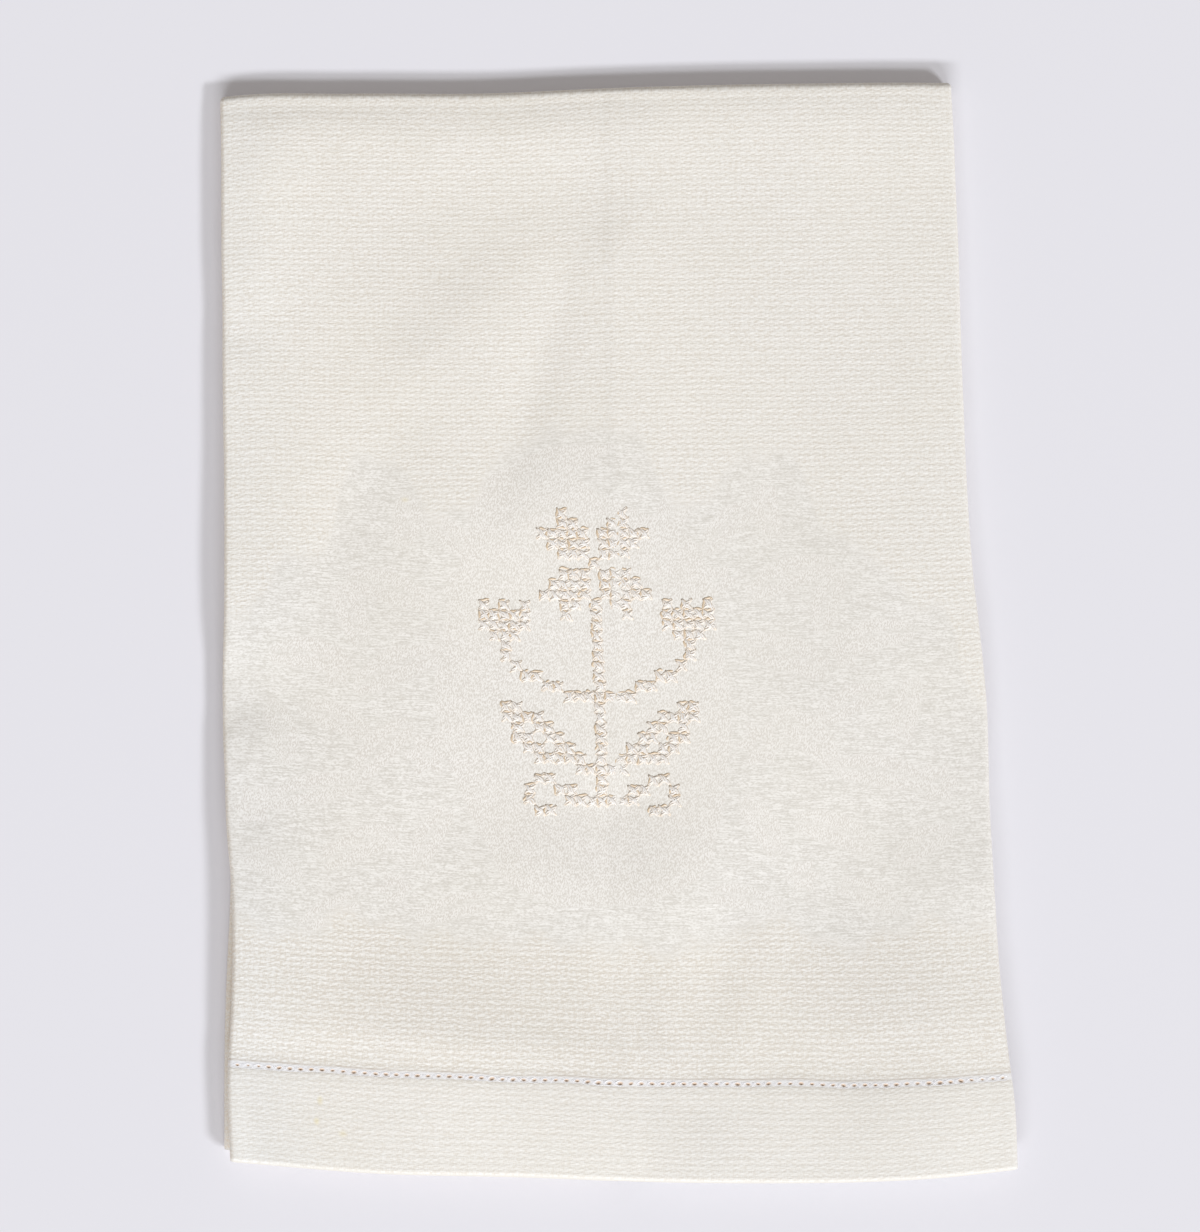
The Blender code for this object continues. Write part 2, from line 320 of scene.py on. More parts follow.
def damask_field(x, y):
    """How far inside the damask field a point lies, and how far inside one of its satin shapes."""
    scallop = sum(deep * np.cos(x / wide + y / high) for deep, wide, high in SCALLOPS)
    field = np.minimum(read_across(ARCH_TOP, 1, x) - y, y - read_across(ARCH_BASE, 1, x)) + scallop
    inside = np.minimum(x - read_across(MEDALLION, 1, y), read_across(MEDALLION, 2, y) - x)
    satin = np.minimum(inside, np.minimum(MEDALLION[0][0] - y, y - MEDALLION[-1][0]))
    out = np.abs(x - FIELD_MIDDLE)
    for at, up, angle, length, width in LEAVES:
        turn = math.radians(angle)
        along = (out - at) * math.cos(turn) + (y - up) * math.sin(turn)
        side = (y - up) * math.cos(turn) - (out - at) * math.sin(turn)
        side = side - LEAF_CURVE * width * np.cos(np.clip(along / length, -0.5, 0.5) * math.pi)
        half = 0.5 * width * np.sqrt(np.clip(1 - (2 * along / length) ** 2, 0, 1))
        vein = np.abs(side) - VEIN
        leaf = np.where(np.abs(along) < length / 2, np.minimum(half - np.abs(side), vein), -3)
        satin = np.maximum(satin, leaf)
    for at, up, size in ROSETTES:
        spread = np.hypot(out - at, y - up)
        petals = size * (1 - NOTCH + NOTCH * np.cos(PETALS * np.arctan2(y - up, out - at)))
        satin = np.maximum(satin, np.minimum(petals - spread, spread - EYE * size))
    return field, satin


def columns_of_cloth():
    """From selvedge to selvedge: place, turn of the side fold, distance across, if all rows cross it."""
    gap = SELVEDGE_GAP / (EDGES[0][RIGHT] - EDGES[0][LEFT])
    inner = np.linspace(gap, 1, TURNED_COLUMNS + 1)
    turns = np.linspace(math.pi / 2, -math.pi / 2, SIDE_STEPS + 1)[1:-1]
    places = np.linspace(-1, 1, 2 * REPEATS + 1)
    front = [(place, math.pi / 2, place * HALF_FRONT, True) for place in places]
    arcs = [HALF_FRONT + SIDE_ARC * (0.5 - turn / math.pi) for turn in turns]
    turned = [HALF_FRONT + SIDE_ARC + (1 - place) * HALF_FRONT for place in inner]
    left = [(-place, -math.pi / 2, -far, False) for place, far in zip(inner, turned)]
    left += [(-1, math.pi - turn, -far, True) for turn, far in zip(turns[::-1], arcs[::-1])]
    right = [(1, turn, far, True) for turn, far in zip(turns, arcs)]
    right += [(place, -math.pi / 2, far, False) for place, far in zip(inner[::-1], turned[::-1])]
    return left + front + right


def rows_of_cloth():
    """Up the front, round the top fold, down the back: bend, length from the fold, if kept where hidden."""
    last, seam = 2 * (ROWS_TO_SEAM + ROWS_IN_HEM), 2 * ROWS_TO_SEAM
    kept = set(range(0, last, COARSE_ROWS)) | set(range(seam - 2, seam + 3)) | {last}
    rows = [(math.pi / 2, i * ROW / 2, i in kept) for i in range(last, -1, -1)]
    rows += [(bend, 0, True) for bend in np.linspace(math.pi / 2, -math.pi / 2, TOP_STEPS + 1)[1:-1]]
    body = np.linspace(0, BODY_LENGTH - HEM_STEP, BACK_ROWS)
    hem = np.linspace(BODY_LENGTH + HEM_STEP, FULL_LENGTH, 4)
    return rows + [(-math.pi / 2, down, True) for down in (*body, BODY_LENGTH, *hem)]


def shaped_cloth():
    """The grids of points of the cloth's right and wrong side, and what its material reads there."""
    place, turn, across, fine = (np.array(values) for values in zip(*columns_of_cloth()))
    bend, down, kept = (np.array(values)[:, None] for values in zip(*rows_of_cloth()))
    front = bend == math.pi / 2
    v = np.where(front, down, -down - TOP_SOFTNESS * (math.pi / 2 - bend))
    u = np.broadcast_to(across, v.shape[:1] + across.shape)
    v = np.broadcast_to(v, u.shape)
    outer, inner = (cloth_point(place, turn, bend, down, side) for side in (True, False))
    field, satin = damask_field(outer[..., 0], outer[..., 1])

    # The rows wander a little over the cloth, and no two stretches of yarn are quite as thick
    clear_of_edge = eased((FULL_LENGTH - down) / EDGE_REACH) * front
    up_by, across_by = stray(u, v, ROWS_STRAY), stray(u, v, COLUMNS_STRAY)
    for side in (outer, inner):
        side[..., 0] += across_by * clear_of_edge
        side[..., 1] += up_by * clear_of_edge
    plain = 1 - eased(field / 4 + 0.5)
    in_hem = eased((down - BODY_LENGTH) / ROW)
    rise = RELIEF * weave_rise(u / REPEAT, v / ROW) * (1 + stray(u, v, YARN_VARIES))
    rise *= (
        (FIELD_RELIEF + (1 - FIELD_RELIEF) * plain)
        * (1 - (1 - HEM_RELIEF) * in_hem)
        * (1 + stray(u, v, CLOTH_VARIES))
    )
    old_fold = np.interp(-outer[..., 1], [-y for y, _ in OLD_FOLD], [x for _, x in OLD_FOLD])
    rise += OLD_FOLD_RISE * np.exp(-(((outer[..., 0] - old_fold) / OLD_FOLD_WIDTH) ** 2))
    rise = rise * front * np.maximum(np.sin(turn), 0) ** 0.5 * eased(down / 4)
    outer[..., 0] += rise * np.cos(turn)
    outer[..., 2] += rise * np.sin(turn)

    first = int(np.argmax(turn == math.pi / 2))
    return SimpleNamespace(
        outer=outer, inner=inner, weave=np.stack([u, v], -1), damask=np.stack([field, satin], -1),
        across=across, fine=fine, kept=kept[:, 0], rows=len(bend), columns=len(place),
        holes=[first + 1 + 2 * i for i in range(REPEATS)],
    )


class Skin:
    """The cloth's mesh as it grows. Each vertex carries what the material reads there."""

    def __init__(self):
        self.mesh = bmesh.new()
        self.layers = [self.mesh.verts.layers.float.new(name) for name in ("damask", "satin", "shade")]
        self.weave = self.mesh.loops.layers.uv.new("weave")
        self.spots = {}

    def vertex(self, point, weave, damask, shade):
        made = self.mesh.verts.new([MM * value for value in point])
        for layer, value in zip(self.layers, (*damask, shade)):
            made[layer] = float(value)
        self.spots[made] = [MM * value for value in weave]
        return made

    def face(self, *corners):
        self.mesh.faces.new(corners).smooth = True

    def join_rings(self, first, second):
        for i in range(len(first)):
            j = (i + 1) % len(first)
            self.face(first[i], first[j], second[j], second[i])

    def finished(self, name):
        bmesh.ops.recalc_face_normals(self.mesh, faces=self.mesh.faces)
        for polygon in self.mesh.faces:
            for corner in polygon.loops:
                corner[self.weave].uv = self.spots[corner.vert]
        mesh = bpy.data.meshes.new(name)
        self.mesh.to_mesh(mesh)
        self.mesh.free()
        return mesh


def lay_side(skin, cloth, is_outer):
    """The vertices of the right or the wrong side, by row and column, with none where a hole comes."""
    side = cloth.outer if is_outer else cloth.inner
    grid = {}
    for row in range(cloth.rows):
        for column in range(cloth.columns):
            if row == SEAM_ROW and column in cloth.holes:
                continue
            if cloth.kept[row] or is_outer and cloth.fine[column]:
                at = row, column
                # the wrong side behind the holes is marked for painted shade
                shade = PLAIN if is_outer or abs(row - SEAM_ROW) > 2 else IN_HOLE
                grid[at] = skin.vertex(side[at], cloth.weave[at], cloth.damask[at], shade)
    return grid


def join_side(skin, cloth, grid):
    """The faces of one side, which stay open where a hole comes."""
    for column in range(cloth.columns - 1):
        both = [r for r in range(cloth.rows) if (r, column) in grid and (r, column + 1) in grid]
        by_a_hole = column in cloth.holes or column + 1 in cloth.holes
        for low, high in zip(both, both[1:]):
            if by_a_hole and low <= SEAM_ROW <= high:
                continue
            there = [grid.get((r, column)) for r in range(low, high + 1)]
            back = [grid.get((r, column + 1)) for r in range(high, low - 1, -1)]
            skin.face(*[corner for corner in there + back if corner])


def cut_hole(skin, cloth, grids, column):
    """One hole: an oval rim in the mesh of the right and of the wrong side, and the wall between them."""
    near_fold = eased((abs(cloth.across[column]) - SMALL_FROM) / SMALL_OVER)
    size = 1 - SMALL_HOLES * near_fold + even.uniform(*HOLE_VARIES)
    lean = even.uniform(-HOLE_LEAN, HOLE_LEAN)
    ring = [(0, -1), (1, -1), (1, 0), (1, 1), (0, 1), (-1, 1), (-1, 0), (-1, -1)]
    rims = []
    for grid, (spread, sink, shade) in zip(grids, HOLE_RIMS):
        middle = cloth.outer[SEAM_ROW, column].copy()
        middle[2] -= sink
        rim = []
        for over, up_by in ring:
            angle = math.atan2(up_by, over)
            spot = middle + (
                HOLE_ACROSS * size * spread * math.cos(angle),
                HOLE_DOWN * size * spread * (math.sin(angle) + lean * math.cos(angle)) + HOLE_SHIFT,
                0,
            )
            rim.append(skin.vertex(spot, cloth.weave[SEAM_ROW, column], OUTSIDE, shade))
        rims.append(rim)
        skin.join_rings([grid[SEAM_ROW + up_by, column + over] for over, up_by in ring], rim)
    skin.join_rings(*rims)


def turn_hem_edge(skin, cloth, grids, row):
    """The soft turned edge of a hem, from the right side round to the wrong side."""
    strips = [[grids[0][row, column] for column in range(cloth.columns)]]
    for angle in (45, 0, -45):
        swing = math.radians(angle)
        strip = []
        for column in range(cloth.columns):
            top, low = cloth.outer[row, column], cloth.inner[row, column]
            half = (top - low) / 2
            out = np.array((0, -np.linalg.norm(half) * LIP_SWELL * math.cos(swing), 0))
            spot = (top + low) / 2 + half * math.sin(swing) + out
            # the lip's vertices are marked ON_LIP, so shade is painted on them
            strip.append(skin.vertex(spot, cloth.weave[row, column], OUTSIDE, ON_LIP))
        strips.append(strip)
    strips.append([grids[1][row, column] for column in range(cloth.columns)])
    for upper, lower in zip(strips, strips[1:]):
        for column in range(cloth.columns - 1):
            skin.face(upper[column], upper[column + 1], lower[column + 1], lower[column])
    for column in (0, cloth.columns - 1):
        skin.face(*[strip[column] for strip in strips])


def close_selvedge(skin, cloth, grids, column):
    """The plain edge that a selvedge ends in."""
    rows = [r for r in range(cloth.rows) if cloth.kept[r]]
    for low, high in zip(rows, rows[1:]):
        skin.face(*[grids[side][row, column] for side, row in ((0, low), (0, high), (1, high), (1, low))])


def build_cloth():
    """The folded cloth as one closed skin with the hemstitch's holes in its front."""
    cloth, skin = shaped_cloth(), Skin()
    grids = [lay_side(skin, cloth, is_outer) for is_outer in (True, False)]
    for grid in grids:
        join_side(skin, cloth, grid)
    for column in cloth.holes:
        cut_hole(skin, cloth, grids, column)
    for row in (0, cloth.rows - 1):
        turn_hem_edge(skin, cloth, grids, row)
    for column in (0, cloth.columns - 1):
        close_selvedge(skin, cloth, grids, column)
    return skin.finished("folded_towel")


class Wiring:
    """Adds nodes to one node tree, each wired to the nodes that it reads."""

    def __init__(self, tree):
        self.tree = tree

    def add(self, kind, reads=None, **settings):
        node = self.tree.nodes.new(kind)
        for name, value in settings.items():
            setattr(node, name, value)
        for name, value in (reads or {}).items():
            self.feed(node.inputs[name], value)
        return node

    def feed(self, socket, value):
        if isinstance(value, bpy.types.NodeSocket):
            self.tree.links.new(value, socket)
        else:
            socket.default_value = value

    def sum(self, operation, *values):
        node = self.tree.nodes.new("ShaderNodeMath")
        node.operation = operation
        for socket, value in zip(node.inputs, values):
            self.feed(socket, value)
        return node.outputs[0]

    def times(self, first, second):
        return self.sum("MULTIPLY", first, second)

    def plus(self, first, second):
        return self.sum("ADD", first, second)

    def between(self, value, low, high, to_low=0.0, to_high=1.0):
        reads = {"Value": value, "From Min": low, "From Max": high, "To Min": to_low, "To Max": to_high}
        return self.add("ShaderNodeMapRange", reads).outputs["Result"]

    def swing(self, noise, size):
        """Noise as a swing of that size to either side of nothing."""
        return self.between(noise, 0.3, 0.7, -size, size)

    def blend(self, share, first, second, how="MIX"):
        node = self.tree.nodes.new("ShaderNodeMix")
        node.data_type, node.blend_type = "RGBA", how
        for name, value in (("Factor_Float", share), ("A_Color", first), ("B_Color", second)):
            socket = next(s for s in node.inputs if s.identifier == name)
            self.feed(socket, value)
        return next(s for s in node.outputs if s.identifier == "Result_Color")

    def noise(self, across, down, scale_across, scale_down, detail=2.0, seed=0.0):
        """Noise with its own scale each way, in features to the metre."""
        reads = {"X": self.times(across, scale_across), "Y": self.times(down, scale_down), "Z": seed}
        vector = self.add("ShaderNodeCombineXYZ", reads).outputs[0]
        reads = {"Vector": vector, "Scale": 1.0, "Detail": detail, "Roughness": 0.55}
        return self.add("ShaderNodeTexNoise", reads).outputs["Fac"]


def new_material(name, values):
    """A material, its wiring and its shader, with those values on the shader's own sockets."""
    material = bpy.data.materials.new(name)
    material.use_nodes = True
    shader = material.node_tree.nodes["Principled BSDF"]
    for socket, value in values.items():
        shader.inputs[socket].default_value = value
    return material, Wiring(material.node_tree), shader


def new_group(name, inputs, outputs):
    """A shader node group with those sockets, its wiring, what it is given and what it puts out."""
    tree = bpy.data.node_groups.new(name, "ShaderNodeTree")
    for socket, value in inputs.items():
        made = tree.interface.new_socket(socket, in_out="INPUT", socket_type="NodeSocketFloat")
        made.default_value = value
    for socket in outputs:
        tree.interface.new_socket(socket, in_out="OUTPUT", socket_type="NodeSocketFloat")
    given, out = tree.nodes.new("NodeGroupInput").outputs, tree.nodes.new("NodeGroupOutput").inputs
    return tree, Wiring(tree), given, out


# The waves that make up the weave's brightness, its tone with the light and shade of its relief painted in:
# how often across and down, phase in degrees, size
WAVES = (
    (0, 1.0, 0, 0.104),  # the rows
    (1, 1.5, 41, 0.056),  # the lattice of the raised weft, stronger along one slant
    (-1, 1.5, 41, 0.040),
    (1, 0.5, -8, 0.020),
    (-1, 0.5, 18, 0.018),
    (2, 0.0, -40, 0.050),  # the warp's columns
)
COLUMNS_WANDER, ROWS_WANDER = 0.16, 0.13  # in repeats and in rows, to either side
WEAVE_VARIES = (0.45, 1.55)  # its waves are that much weaker and bolder from place to place
YARNS = (
    # name, features to the metre across and down, detail, seed
    ("Weft", 900, 3300, 1.0, 3.7),
    ("Warp", 3500, 1700, 1.0, 9.2),
    ("Pick", 280, 3600, 1.0, 6.6),
    ("Grain", 1500, 2600, 1.0, 8.4),
    ("Slub", 110, 700, 2.0, 5.5),
    ("Cloud", 26, 26, 3.0, 2.2),
)
WARP_LEAN = 0.22


def huckaback_group():
    """The weave: how bright its raised weft and its eyes are, with the light and shade of its relief
    painted in, and how high they stand.
    """
    inputs = {"Across": 0, "Down": 0, "Gain": 1}
    tree, w, given, out = new_group("huckaback", inputs, ("Bright", "Height"))
    across, down = given["Across"], given["Down"]
    aside = w.swing(w.noise(across, down, 150, 300, seed=1.3), COLUMNS_WANDER)
    repeats = w.plus(w.times(across, 1 / (REPEAT * MM)), aside)
    astray = w.swing(w.noise(across, down, 70, 240, seed=7.1), ROWS_WANDER)
    rows = w.plus(w.times(down, 1 / (ROW * MM)), astray)
    bold = w.between(w.noise(across, down, 130, 560, seed=4.4), 0.3, 0.7, *WEAVE_VARIES)
    total, height = 0.0, 0.0
    for often, down_often, phase, size in WAVES:
        angle = w.sum("MULTIPLY_ADD", repeats, 2 * math.pi * often, math.radians(phase))
        angle = w.sum("MULTIPLY_ADD", rows, 2 * math.pi * down_often, angle)
        total = w.sum("MULTIPLY_ADD", w.sum("COSINE", angle), size, total)
        height = w.sum("MULTIPLY_ADD", w.sum("SINE", angle), -size, height)
    total = w.times(w.times(total, bold), given["Gain"])
    w.feed(out["Bright"], w.plus(total, 0.5))
    w.feed(out["Height"], height)
    return tree


def yarn_group():
    """Single yarns: streaks along the weft, leaning ones along the warp, and the slubs of flax."""
    names = [name for name, *_ in YARNS]
    tree, w, given, out = new_group("yarns", {"Across": 0, "Down": 0}, names)
    across, down = given["Across"], given["Down"]
    leaning = w.sum("MULTIPLY_ADD", down, WARP_LEAN, across)
    for name, fine_across, fine_down, detail, seed in YARNS:
        start = leaning if name == "Warp" else across
        w.feed(out[name], w.noise(start, down, fine_across, fine_down, detail, seed))
    return tree


THREAD = (0.959, 0.938, 0.899, 1)  # the raised weft of the huckaback
# the tan between the rows is partly the weave's tone and partly painted shade of its relief
ROW_TAN_AND_SHADE = (0.775, 0.712, 0.628, 1)  # and between its rows
HEM_WHITE = (0.985, 0.965, 0.925, 1)
FIELD_THREAD = (0.968, 0.936, 0.890, 1)  # the damask, a little greyer
FIGURE_GREY = (0.66, 0.62, 0.56, 1)  # between its threads
SATIN_GREY = (0.69, 0.64, 0.58, 1)  # and between those of its satin shapes
SLUB_GREY = (0.70, 0.68, 0.60, 1)
CLOUD_CREAM = (0.90, 0.84, 0.70, 1)
SEAM_WHITE = (0.93, 0.915, 0.92, 1)
DRAWN_SHADE_BROWN = (0.60, 0.53, 0.46, 1)
LEFT_FOLD_SHADE_TAN = (0.82, 0.64, 0.45, 1)
DULL_GREY = (0.70, 0.69, 0.67, 1)
RIGHT_FOLD_SHADE_GREY = (0.70, 0.67, 0.62, 1)
COOLER = (0.955, 0.985, 1.035, 1)  # the bleached cloth's colour, as shares of what it was
PALER = (1.045, 1.045, 1.045, 1)
LIP_SHADE_GREY = (0.60, 0.57, 0.52, 1)
HOLE_SHADE_TAN = (0.68, 0.52, 0.40, 1)
STAIN = (0.84, 0.74, 0.46, 1)
STAINS = (
    # u across and v down on the front, size across and down, strength
    (-73.3, 261.4, 0.9, 1.6, 0.5), (-74.3, 266.6, 0.9, 1.2, 0.6), (-68.0, 269.0, 1.4, 1.0, 0.4),
    (-49.4, 108.0, 1.3, 0.9, 0.35), (22.2, 148.0, 1.2, 0.9, 0.3),
)
LINEN_ROUGHNESS, SATIN_ROUGHNESS = 0.86, 0.7
WEAVE_DEPTH = 0.00005  # of the bump, in metres


def huckaback_colour(w, huck, yarn, down, hem):
    """Tan eyes between the bright weft, partly their tone and partly painted shade of the weave's relief,
    bolder and darker towards the hem, fainter and whiter in it.
    """
    from_fold = w.sum("ABSOLUTE", down)
    bolder = w.between(from_fold, 0.10, 0.23, 1.05, 1.6)
    raised = w.between(from_fold, 0.10, 0.23, 1.05, 1.75)
    w.feed(huck.inputs["Gain"], w.times(raised, w.between(hem, 0, 1, 1.0, 0.42)))
    streaks = w.plus(w.swing(yarn["Weft"], 0.30), w.swing(yarn["Warp"], 0.26))
    streaks = w.times(streaks, w.times(bolder, w.between(hem, 0, 1, 1.0, 0.66)))
    # painted shade: the weave is drawn darker towards the hem, in place of light falling off there
    painted_dimming = w.between(from_fold, 0.15, 0.23, 0.53, 0.39)
    bright = w.plus(w.sum("SUBTRACT", huck.outputs["Bright"], 0.5), streaks)
    # The square takes a little off both ends: few threads are brightest, and the eyes are darker
    bright = w.sum("MULTIPLY_ADD", w.times(bright, bright), -0.55, w.plus(bright, painted_dimming))
    rows = w.blend(bright, ROW_TAN_AND_SHADE, THREAD)
    return w.blend(w.times(hem, 0.16), rows, HEM_WHITE)


def damask_colour(w, yarn, satin):
    """Short picks and grain in the figure's ground, and steep fine streaks in its satin shapes."""
    figure = w.blend(w.between(yarn["Pick"], 0.42, 0.68, 0.0, 0.62), FIELD_THREAD, FIGURE_GREY)
    figure = w.blend(w.between(yarn["Grain"], 0.42, 0.66, 0.0, 0.68), figure, FIGURE_GREY)
    smooth = w.blend(w.between(yarn["Warp"], 0.40, 0.60, 0.0, 0.80), FIELD_THREAD, SATIN_GREY)
    return w.blend(satin, figure, smooth)


def with_seam(w, colour, yarn, down):
    """White sewing thread covers the cloth along the seam, below a brown line of painted shade where
    threads are drawn out.
    """
    below = w.sum("SUBTRACT", down, BODY_LENGTH * MM)
    band = w.times(w.between(below, -1.15 * MM, -0.75 * MM), w.between(below, 0.75 * MM, 0.35 * MM))
    colour = w.blend(w.times(band, 0.75), colour, SEAM_WHITE)
    # painted shade of the groove where threads are drawn out, broken by the slubs
    drawn = w.between(w.sum("ABSOLUTE", w.plus(below, 1.25 * MM)), 0.30 * MM, 0.05 * MM)
    drawn = w.times(drawn, w.between(yarn["Slub"], 0.35, 0.6, 0.35, 0.8))
    return w.blend(drawn, colour, DRAWN_SHADE_BROWN)


def with_painted_fold_shade(w, colour, across, down):
    """The left fold gets painted warm shade in broken streaks, and the cloth is a little greyer towards its
    right.
    """
    # painted shade: the left fold, turned from the light, is tinted tan
    worn = w.between(across, -(HALF_FRONT - 0.2) * MM, -(HALF_FRONT + 1.6) * MM, 0.0, 0.42)
    broken = w.between(w.noise(across, down, 900, 2600, 1.0, 2.9), 0.38, 0.6, 0.2, 1.0)
    colour = w.blend(w.times(worn, broken), colour, LEFT_FOLD_SHADE_TAN)
    return w.blend(w.between(across, -0.03, 0.095, 0.0, 0.12), colour, DULL_GREY)


def with_bleaching(w, colour, across, down):
    """The cloth is bleached cooler down its left side and towards its hem, and most in their corner."""
    beside = w.between(across, -0.070, -0.092)
    below_field = w.between(w.sum("ABSOLUTE", down), 0.19, 0.272)
    corner = w.times(beside, below_field)
    cooler = w.sum("MULTIPLY_ADD", beside, 0.30, w.times(below_field, 0.22))
    cooler = w.sum("MULTIPLY_ADD", corner, 0.30, cooler)
    colour = w.blend(cooler, colour, COOLER, "MULTIPLY")
    return w.blend(w.between(corner, 0.8, 1.0), colour, PALER, "MULTIPLY")


def with_stains(w, colour, across, down):
    """Faint yellow spots."""
    for u, v, wide, high, strength in STAINS:
        reads = {"X": w.between(across, (u - wide) * MM, (u + wide) * MM, -1, 1),
                 "Y": w.between(down, (v - high) * MM, (v + high) * MM, -1, 1)}
        spot = w.add("ShaderNodeCombineXYZ", reads).outputs[0]
        length = w.add("ShaderNodeVectorMath", {"Vector": spot}, operation="LENGTH").outputs["Value"]
        colour = w.blend(w.between(length, 1.0, 0.2, 0.0, strength), colour, STAIN)
    return colour


def linen_height(w, huck, yarn, field, satin):
    """What the bump reads: raised weft in the huckaback, and flatter weft or warp in the damask."""
    ground = w.times(yarn["Weft"], w.sum("SUBTRACT", 1.0, satin))
    damask = w.plus(ground, w.times(yarn["Warp"], satin))
    rows = w.sum("MULTIPLY_ADD", huck.outputs["Height"], 1.5, yarn["Weft"])
    rows = w.times(rows, w.sum("SUBTRACT", 1.0, field))
    return w.plus(rows, w.times(damask, w.times(field, 0.55)))


def linen_material():
    """Bleached linen, by where it lies in the weave and by the attributes of the cloth's vertices."""
    values = {"Specular IOR Level": 0.25, "Sheen Weight": 0.12, "Sheen Roughness": 0.5}
    material, w, shader = new_material("linen_huckaback", values)
    weave = w.add("ShaderNodeUVMap", uv_map="weave").outputs["UV"]
    weave = w.add("ShaderNodeSeparateXYZ", {"Vector": weave}).outputs
    across, down = weave["X"], weave["Y"]
    place = {"Across": across, "Down": down}
    huck = w.add("ShaderNodeGroup", place, node_tree=huckaback_group())
    yarn = w.add("ShaderNodeGroup", place, node_tree=yarn_group()).outputs

    def attribute(name):
        return w.add("ShaderNodeAttribute", attribute_name=name).outputs["Fac"]

    field, satin = w.between(attribute("damask"), -2.2, 2.2), w.between(attribute("satin"), -0.5, 0.5)
    hem = w.between(w.sum("ABSOLUTE", down), (BODY_LENGTH + 0.5) * MM, (BODY_LENGTH + 1.5) * MM)
    colour = w.blend(field, huckaback_colour(w, huck, yarn, down, hem), damask_colour(w, yarn, satin))
    colour = w.blend(w.between(yarn["Slub"], 0.3, 0.7, 0.14, 0.0), colour, SLUB_GREY)
    colour = w.blend(w.between(yarn["Cloud"], 0.35, 0.65, 0.0, 0.10), colour, CLOUD_CREAM)
    colour = with_painted_fold_shade(w, with_seam(w, colour, yarn, down), across, down)
    colour = with_bleaching(w, colour, across, down)
    # painted shade: the right fold, where the light catches it, is greyed
    turned = w.between(across, (HALF_FRONT - 0.6) * MM, (HALF_FRONT + 0.6) * MM, 0.0, 0.20)
    colour = w.blend(turned, colour, RIGHT_FOLD_SHADE_GREY)
    colour = with_stains(w, colour, across, down)
    shade = attribute("shade")
    # painted shade on the hem's turned lip, which faces the light
    colour = w.blend(w.between(shade, PLAIN, ON_LIP, 0.0, 1.0), colour, LIP_SHADE_GREY)
    # painted warm shade in the hemstitch holes and on the cloth that shows through them
    colour = w.blend(w.between(shade, 0.2, 0.6), colour, HOLE_SHADE_TAN)

    height = linen_height(w, huck, yarn, field, satin)
    reads = {"Height": height, "Strength": 1.0, "Distance": WEAVE_DEPTH}
    w.feed(shader.inputs["Base Color"], colour)
    w.feed(shader.inputs["Normal"], w.add("ShaderNodeBump", reads).outputs["Normal"])
    rough = w.between(w.times(field, satin), 0, 1, LINEN_ROUGHNESS, SATIN_ROUGHNESS)
    w.feed(shader.inputs["Roughness"], rough)
    return material


def placed(mesh, material):
    """The object of that mesh, in its material, in the scene."""
    mesh.materials.append(material)
    piece = bpy.data.objects.new(mesh.name, mesh)
    scene.collection.objects.link(piece)
    return piece


towel = placed(build_cloth(), linen_material())
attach(towel, "root")
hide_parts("towel")

# ----------------------------------------------------------
# The hemstitching. Threads were drawn out along the hem's seam, and a cool white sewing thread gathers
# those left into bars: it arches over each hole, ties down between two, and catches the hem below.
SEWING_RADIUS = 0.14
ARCH_RISE, ARCH_VARIES, ARCH_FOOT = 0.74, (0.8, 1.15), 0.15  # its feet are that far below the seam
CATCH_DOWN = 0.62  # and so is the thread that catches the hem
TIE_REACH, TIE_APART, TIE_LEAN = 0.56, 0.14, 0.08
ARCH_LIES, CATCH_LIES, TIE_LIES = -0.13, -0.06, -0.08  # how far each is sunk into the cloth
# less painted shade than the floss; only the sewing thread's sides and underside get some
SEWING_SHADE_OFFSET = -0.6  # bright all round
POINTS_IN_ARCH = 8


def tubes(name, paths, flat=1.0, sides=6):
    """One mesh of closed tubes along paths of rows: x, y, z, radius, and an offset of painted shade. The
    shade is painted on their sides and undersides and on what faces the towel's top, away from the light.
    flat is their height by their width."""
    points, faces, deep = [], [], []
    angles = np.arange(sides) * 2 * math.pi / sides
    for path in paths:
        path = np.asarray(path, float)
        along = np.gradient(path[:, :3], axis=0)
        along /= np.linalg.norm(along, axis=1)[:, None]
        side = np.cross(along, (0, 0, 1))
        side /= np.maximum(np.linalg.norm(side, axis=1)[:, None], 1e-9)
        up = np.cross(side, along)
        outward = side[:, None] * np.cos(angles)[:, None] + up[:, None] * np.sin(angles)[:, None]
        rings = path[:, None, :3] + path[:, None, 3:4] * outward * (1, 1, flat)
        # painted shade: sides, undersides and the side facing the towel's top, away from the light
        painted_shade = path[:, 4:5] + 1.0 - 1.05 * outward[..., 2] + 0.35 * outward[..., 1]
        start = len(points)
        points.extend((rings.reshape(-1, 3) * MM).tolist())
        deep.extend(np.clip(painted_shade, 0, 1).ravel().tolist())
        for ring in range(len(path) - 1):
            for i in range(sides):
                a, b = start + ring * sides + i, start + ring * sides + (i + 1) % sides
                faces.append((a, a + sides, b + sides, b))
        faces.append(tuple(range(start, start + sides)))
        faces.append(tuple(range(len(points) - 1, len(points) - 1 - sides, -1)))
    mesh = bpy.data.meshes.new(name)
    mesh.from_pydata(points, [], faces)
    mesh.attributes.new("deep", "FLOAT", "POINT").data.foreach_set("value", deep)
    mesh.update()
    mesh.shade_smooth()
    return mesh


def lay_on(u, v, above, radius, deep):
    """A thread's path on the front, as rows for tubes."""
    spot = on_front(u, v)
    spot[:, 2] += above
    return np.column_stack([spot, radius, deep])


